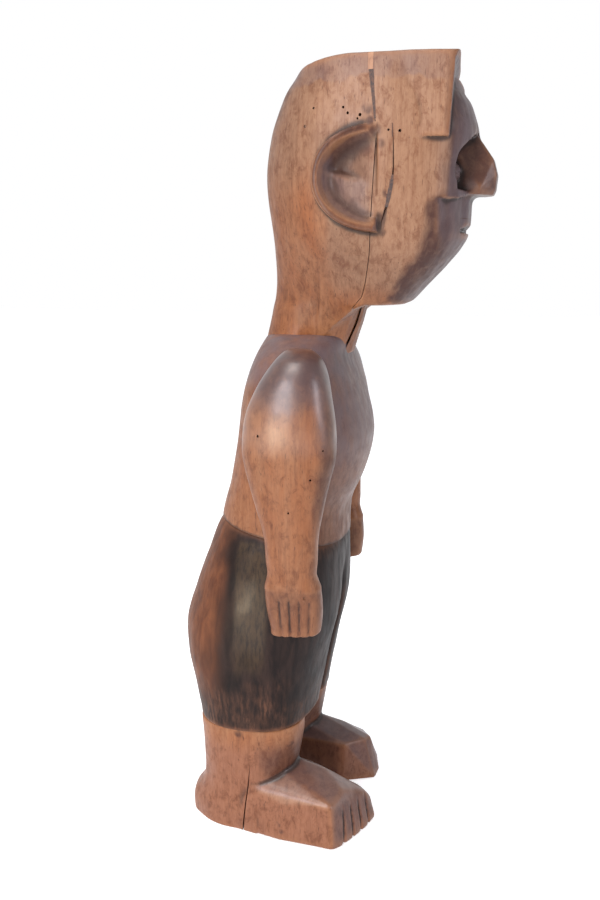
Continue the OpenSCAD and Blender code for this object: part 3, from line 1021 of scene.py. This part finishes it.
def wood_masks(points, facing, bend, above_collar=False):
    """How much of each change in colour or gloss there is at each point of bare wood."""
    s = Skin(points, facing, above_collar)
    return {
        "dark": patina_and_shade(s), "bloom_and_sheen": grey_bloom_and_sheen(s), "shade_and_dirt": shade_and_dirt(s, bend), "worn": wear(s, bend),
        "pink": s.foot, "polish": polish(s), "pale": pale_wood(s),
    }


head_masks = functools.partial(wood_masks, above_collar=True)


def shorts_masks(points, facing, bend):
    """Where the stain is rubbed red, olive or brown, where it is dirty, where shade is painted into its
    hollows, and where it is bright.
    """
    x, y, z = points.T
    streak = noise(points, (3, 3, 9), 31)
    blotch = noise(points, (6, 6, 9), 32)
    fine = noise(points, (1.4, 1.4, 3.2), 33)
    rear_line = 31.5 + 3.5 * ramp(100, 62, z) - 2 * ramp(60, 45, z)
    rust = ramp(-3, 7, y - rear_line + streak + 2 * blotch)
    rust = rust * (0.9 + 0.15 * fine) * ramp(46, 60, z + 4 * blotch)
    inside = ramp(30.5, 27.5, y + 1.2 * streak) * ramp(16, 19, y + streak) * ramp(62, 72, z + 3 * blotch)
    olive = inside * ramp(114.5, 112.5, z) * (0.8 + 0.4 * streak)
    tan = ramp(64, 50, z + 4 * streak + 5 * blotch) * (0.55 + 0.3 * fine + 0.3 * streak)
    tan = np.maximum(tan, 0.5 * ramp(104, 112, z + 3 * fine) * ramp(14, 8, y))
    worn = 0.6 * ramp(0.1, 0.45, bend + 0.05 * fine)
    edge = ramp(-1.2, -0.3, waist_side(y, z) + 0.3 * fine)
    worn = np.maximum(worn, 0.6 * edge * ramp(0.1, 0.5, blotch + 0.5 * fine))
    # Painted shade in the hollows, then dirt low on the back and a dark line round the olive patch
    shade_and_dirt = ramp(0.08, 0.35, -bend)
    shade_and_dirt = np.maximum(shade_and_dirt, 0.4 * ramp(-0.1, 0.5, blotch) * ramp(76, 68, z) * ramp(40, 34, y))
    outline = np.exp(-(((y - 30.8 + streak) / 1.3) ** 2)) * ramp(66, 74, z) * ramp(115, 112, z)
    shade_and_dirt = np.maximum(shade_and_dirt, 0.7 * outline)
    polish = olive * ramp(105, 92, z + 4 * blotch) * ramp(70, 78, z)
    return {"rust": rust, "olive": olive, "tan": tan, "worn": worn, "shade_and_dirt": shade_and_dirt, "polish": polish}


# ---- materials

class Shader:
    """Short names for building one node material on a Principled surface."""

    def __init__(self, name):
        self.material = bpy.data.materials.new(name)
        self.material.use_nodes = True
        self.tree = self.material.node_tree
        self.surface = self.tree.nodes["Principled BSDF"]
        self.place = self.add("ShaderNodeTexCoord").outputs["Object"]

    def add(self, kind, **settings):
        node = self.tree.nodes.new(kind)
        for key, value in settings.items():
            setattr(node, key, value)
        return node

    def feed(self, socket, value):
        if isinstance(value, bpy.types.NodeSocket):
            self.tree.links.new(value, socket)
        else:
            socket.default_value = value

    def painted(self, name, strength=None):
        """A mask painted on the mesh, made weaker where a strength is given."""
        mask = self.add("ShaderNodeAttribute", attribute_name=name).outputs["Fac"]
        return mask if strength is None else self.maths("MULTIPLY", mask, strength)

    def maths(self, operation, a, b):
        node = self.add("ShaderNodeMath", operation=operation)
        self.feed(node.inputs[0], a)
        self.feed(node.inputs[1], b)
        return node.outputs[0]

    def scaled_place(self, across, along):
        """Object coordinates times blotches per mm across the grain and along it."""
        node = self.add("ShaderNodeVectorMath", operation="MULTIPLY")
        self.feed(node.inputs[0], self.place)
        node.inputs[1].default_value = (across / MM, across / MM, along / MM)
        return node.outputs[0]

    def cloud(self, across, along, detail, rough=0.55, warp=0.0):
        node = self.add("ShaderNodeTexNoise")
        self.feed(node.inputs["Vector"], self.scaled_place(across, along))
        set_inputs(node, {"Scale": 1.0, "Detail": detail, "Roughness": rough, "Distortion": warp})
        return node.outputs["Fac"]

    def between(self, value, low, high, start=0.0, end=1.0):
        """Goes smoothly from start to end as the value goes from low to high."""
        node = self.add("ShaderNodeMapRange", interpolation_type="SMOOTHSTEP")
        self.feed(node.inputs["Value"], value)
        set_inputs(node, {"From Min": low, "From Max": high, "To Min": start, "To Max": end})
        return node.outputs["Result"]

    def mix(self, share, a, b):
        node = self.add("ShaderNodeMix", data_type="RGBA", blend_type="MIX")
        self.feed(node.inputs["Factor"], share)
        self.feed(node.inputs[6], a)
        self.feed(node.inputs[7], b)
        return node.outputs[2]

    def set_surface(self, values):
        for name, value in values.items():
            self.feed(self.surface.inputs[name], value)

    def bump(self, height, depth, strength):
        node = self.add("ShaderNodeBump")
        set_inputs(node, {"Strength": strength, "Distance": depth * MM})
        self.feed(node.inputs["Height"], height)
        self.feed(self.surface.inputs["Normal"], node.outputs["Normal"])


def srgb(red, green, blue):
    """A colour given as 0 to 255 display values."""
    linear = [((c / 255 + 0.055) / 1.055) ** 2.4 for c in (red, green, blue)]
    return (*linear, 1.0)


NEW_WOOD = srgb(162, 120, 88)
# The darkest tone is laid on for patina and for painted shade, the grey one for bloom and for painted
# grey sheen
WOOD_TONES = {
    "light": srgb(132, 90, 61), "deep": srgb(88, 50, 31), "amber": srgb(126, 76, 43),
    "patina_and_shade": srgb(54, 29, 23), "bloom_and_sheen": srgb(84, 73, 77), "pale": srgb(128, 99, 78),
    "pink": srgb(121, 79, 57),
}
# Dark brown laid on for dirt and for painted shade in the hollows
WOOD_SHADE_AND_DIRT = srgb(30, 20, 18)
BUMP_DEPTH = 0.12


def bare_wood(name, light, deep, amber, patina_and_shade, bloom_and_sheen, pale, pink):
    """Oiled, handled carving wood; masks painted on the mesh say where it changes."""
    s = Shader(name)
    figure = s.cloud(0.13, 0.03, 4.0, 0.6, 0.6)
    grain = s.cloud(1.0, 0.07, 5.0, 0.65)
    mottle = s.cloud(0.3, 0.2, 6.0, 0.7, 0.5)
    colour = s.mix(s.between(figure, 0.3, 0.7), light, amber)
    colour = s.mix(s.painted("pale", 0.8), colour, pale)
    colour = s.mix(s.painted("pink"), colour, s.mix(s.between(mottle, 0.42, 0.75, 0.0, 0.6), pink, deep))
    colour = s.mix(s.between(grain, 0.4, 0.7, 0.0, 0.4), colour, deep)
    colour = s.mix(s.between(mottle, 0.48, 0.68, 0.0, 0.65), colour, deep)
    colour = s.mix(s.between(s.cloud(0.7, 0.4, 5.0, 0.7), 0.4, 0.8, 0.0, 0.35), colour, deep)
    # Patina and painted shade
    patchy = s.between(mottle, 0.25, 0.6, 0.75, 1.0)
    colour = s.mix(s.maths("MULTIPLY", s.painted("dark"), patchy), colour, patina_and_shade)
    # Grey bloom and painted grey sheen
    colour = s.mix(s.painted("bloom_and_sheen"), colour, bloom_and_sheen)
    colour = s.mix(s.painted("worn", 0.35), colour, light)
    # Short dark pores that run with the grain
    pores = s.between(s.cloud(2.6, 0.28, 1.0, 0.4), 0.66, 0.76)
    colour = s.mix(pores, colour, s.mix(0.55, colour, patina_and_shade))
    # Dirt and painted shade in the hollows
    colour = s.mix(s.painted("shade_and_dirt", 0.85), colour, WOOD_SHADE_AND_DIRT)
    gloss = s.between(s.cloud(0.35, 0.2, 4.0, 0.6), 0.3, 0.7, 0.4, 0.58)
    wax = s.maths("ADD", s.painted("polish", 0.9), s.between(mottle, 0.3, 0.7, 0.16, 0.04))
    s.set_surface({
        "Base Color": colour, "Roughness": gloss, "Specular IOR Level": 0.2,
        "Coat Weight": wax, "Coat Roughness": 0.36,
    })
    grain_relief = s.maths("MULTIPLY", grain, 0.6)
    lumps = s.maths("MULTIPLY", s.cloud(0.6, 0.4, 4.0), 0.5)
    s.bump(s.maths("ADD", grain_relief, lumps), BUMP_DEPTH, 0.55)
    return s.material


def stained_wood():
    """Nearly black stain, rubbed through to red and olive brown where hands hold it."""
    s = Shader("stained_wood")
    grain = s.cloud(0.9, 0.2, 5.0, 0.65)
    streaks = s.cloud(0.25, 0.07, 5.0, 0.6, 0.5)
    colour = s.mix(s.between(streaks, 0.35, 0.7), srgb(22, 17, 17), srgb(42, 31, 28))
    rubbed = s.mix(s.between(streaks, 0.3, 0.75), srgb(100, 62, 42), srgb(66, 38, 27))
    colour = s.mix(s.painted("rust"), colour, rubbed)
    olive = s.mix(s.between(grain, 0.4, 0.7), srgb(60, 47, 34), srgb(31, 25, 22))
    colour = s.mix(s.painted("olive", 0.85), colour, olive)
    brown = s.mix(s.between(grain, 0.35, 0.65), srgb(88, 60, 46), srgb(34, 26, 24))
    colour = s.mix(s.painted("tan", 0.8), colour, brown)
    colour = s.mix(s.painted("worn", 0.6), colour, srgb(126, 84, 62))
    # Dirt and painted shade in the hollows of the shorts
    colour = s.mix(s.painted("shade_and_dirt", 0.8), colour, srgb(16, 13, 13))
    gloss = s.between(s.cloud(0.4, 0.12, 4.0, 0.6), 0.3, 0.7, 0.4, 0.55)
    s.set_surface({
        "Base Color": colour, "Roughness": gloss, "Specular IOR Level": 0.1,
        "Coat Weight": s.painted("polish", 0.22), "Coat Roughness": 0.25,
    })
    grain_relief = s.maths("MULTIPLY", grain, 0.6)
    s.bump(s.maths("ADD", grain_relief, s.cloud(0.5, 0.2, 4.0)), BUMP_DEPTH, 0.55)
    return s.material


def filler_material():
    s = Shader("filler")
    crumbs = s.cloud(1.6, 1.2, 5.0, 0.65)
    colour = s.mix(s.between(crumbs, 0.35, 0.7), srgb(44, 32, 30), srgb(84, 60, 50))
    s.set_surface({"Base Color": colour, "Roughness": s.between(crumbs, 0.3, 0.7, 0.6, 0.85)})
    s.bump(crumbs, 0.25, 0.9)
    return s.material


def make_materials():
    """The materials, by the slot they fill."""
    new_tones = {**WOOD_TONES, "light": NEW_WOOD, "pale": NEW_WOOD}
    return {
        "carved_wood": bare_wood("carved_wood", **WOOD_TONES),
        "dark_patina": bare_wood("dark_patina", **WOOD_TONES),
        "new_wood": bare_wood("new_wood", **new_tones),
        "stained_wood": stained_wood(),
        "filler": filler_material(),
    }


# ---- assembly

CREASE = np.radians(50)
TOP_Z = 300
# Worm holes and a pit in the back of the hand, as y and z
ARM_HOLES = [(-6.6, 152.7), (-2.8, 143.1), (14.5, 157), (20.6, 133.8), (4.4, 131.8)]
BELLY_HOLES = [(-4.5, 124.7), (-5.3, 118.3)]
HAND_PIT = [(-0.7, 102.0)]
# All in front of and below the ankle, as an outline of y and z
ANKLE_LINE = [(-FAR, -20), (-FAR, 54.2), (FAR, 2.2), (FAR, -20)]
ANKLE_CRACK = [(27.4, -1, 0.6), (26.4, 9, 0.5), (25.2, 20, 0.4), (24.4, 28, 0.05)]
SLOTS = {
    **dict.fromkeys(("nose", "lips", "right_eye", "left_eye"), "dark_patina"),
    "crown_slip": "new_wood", "seam_filler": "filler", "shorts": "stained_wood",
}


class Carving:
    """One carved mass, its mesh, and how its surface bends: above 0 on edges, below in hollows."""

    def __init__(self, name, f, d, masks, materials):
        self.masks = masks
        self.materials = materials
        self.f = f
        self.made = carved_object(name, f, d)
        self.bend = f.blurred(d, 1.3) - d

    def finish(self, name, made):
        """Paints a piece of this mass and makes it the looks of a CAD node."""
        mesh = made.data
        points = coordinates(mesh)
        bend = self.f.sample(self.bend, points)
        for key, values in self.masks(points, normals(mesh), bend).items():
            paint(mesh, key, values)
        slot = SLOTS.get(name, "carved_wood")
        mesh.shade_smooth()
        mesh.set_sharp_from_angle(angle=CREASE)
        mesh.materials.clear()
        mesh.materials.append(self.materials[slot])
        mesh.polygons.foreach_set("material_index", np.zeros(len(mesh.polygons), np.int32))
        made.name = name + "_wood"
        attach(made, "root")
        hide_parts(name)


def arm_cutter(f, arm_side, side):
    """A closed block around what lies nearer to one arm than to the trunk."""
    region = np.maximum(arm_side, 26 - side * f.x)
    closed = np.full_like(region, 4.0)
    inner = (slice(2, -2),) * 3
    closed[inner] = region[inner]
    return surface_object("arm_cut", f, np.clip(closed, -3, 4))


def cut_torso(trunk):
    """The trunk above the sloping waist line."""
    edge = [(y, WAIST_Z + WAIST_RISE * (y - WAIST_Y)) for y in (-FAR, FAR)]
    waist_cut = prism("waist_cut", edge + [(FAR, TOP_Z), (-FAR, TOP_Z)], -FAR, FAR)
    torso = combined(trunk, waist_cut, "INTERSECT")
    discard(trunk, waist_cut)
    return carved_out(torso, drill("worm_cut", BELLY_HOLES, 0.32, (-FAR, -20)))


def finish_arm(trunk, name, whole, shorts):
    """Cuts the hip out of an arm and divides it at the wrist."""
    wrist = box("wrist_cut", (-FAR, FAR), (-FAR, FAR), (60, WRIST_Z))
    hand, arm = split_off(combined(whole, shorts, "DIFFERENCE"), wrist)
    discard(whole)
    if name == "right":
        arm = carved_out(arm, drill("worm_cut", ARM_HOLES, 0.32, (-FAR, -48)))
        hand = carved_out(hand, drill("pit_cut", HAND_PIT, 0.75, (-FAR, -50.2)))
    trunk.finish(name + "_arm", arm)
    trunk.finish(name + "_hand", hand)


def build_body(materials):
    """Arms, hands, shorts, head and torso."""
    f, d, arm_side = sculpt_trunk()
    trunk = Carving("trunk", f, d, wood_masks, materials)
    arms = []
    rest = trunk.made
    for side, name in SIDES:
        arm, rest = split_off(rest, arm_cutter(f, arm_side, side))
        arms.append((name, arm))
    torso = cut_torso(rest)

    shorts = Carving("shorts", *sculpt_shorts(), shorts_masks, materials)
    for name, arm in arms:
        finish_arm(trunk, name, arm, shorts.made)
    shorts.finish("shorts", shorts.made)

    head = Carving("head", *sculpt_head(), head_masks, materials)
    for name, made in divide_head(head.made).items():
        if name in ("neck", "face"):
            trimmed = combined(made, torso, "DIFFERENCE")
            discard(made)
            made = trimmed
        head.finish(name, made)
    trunk.finish("torso", torso)


def build_legs(materials):
    legs = Carving("legs", *sculpt_legs(), wood_masks, materials)
    right_half = box("half_cut", (-FAR, 0), (-FAR, FAR), (-20, 60))
    right, left = split_off(legs.made, right_half)
    for name, made in (("right", right), ("left", left)):
        foot, leg = split_off(made, prism("ankle_cut", ANKLE_LINE, -FAR, FAR))
        if name == "right":
            foot = carved_out(foot, strip("foot_crack", ANKLE_CRACK, -FAR, -26))
            leg = carved_out(leg, strip("foot_crack", ANKLE_CRACK, -FAR, -26))
        legs.finish(name + "_foot", foot)
        legs.finish(name + "_leg", leg)


make_camera()
make_sky()
make_lamps()
make_floor()
wood_and_stain = make_materials()
build_body(wood_and_stain)
build_legs(wood_and_stain)
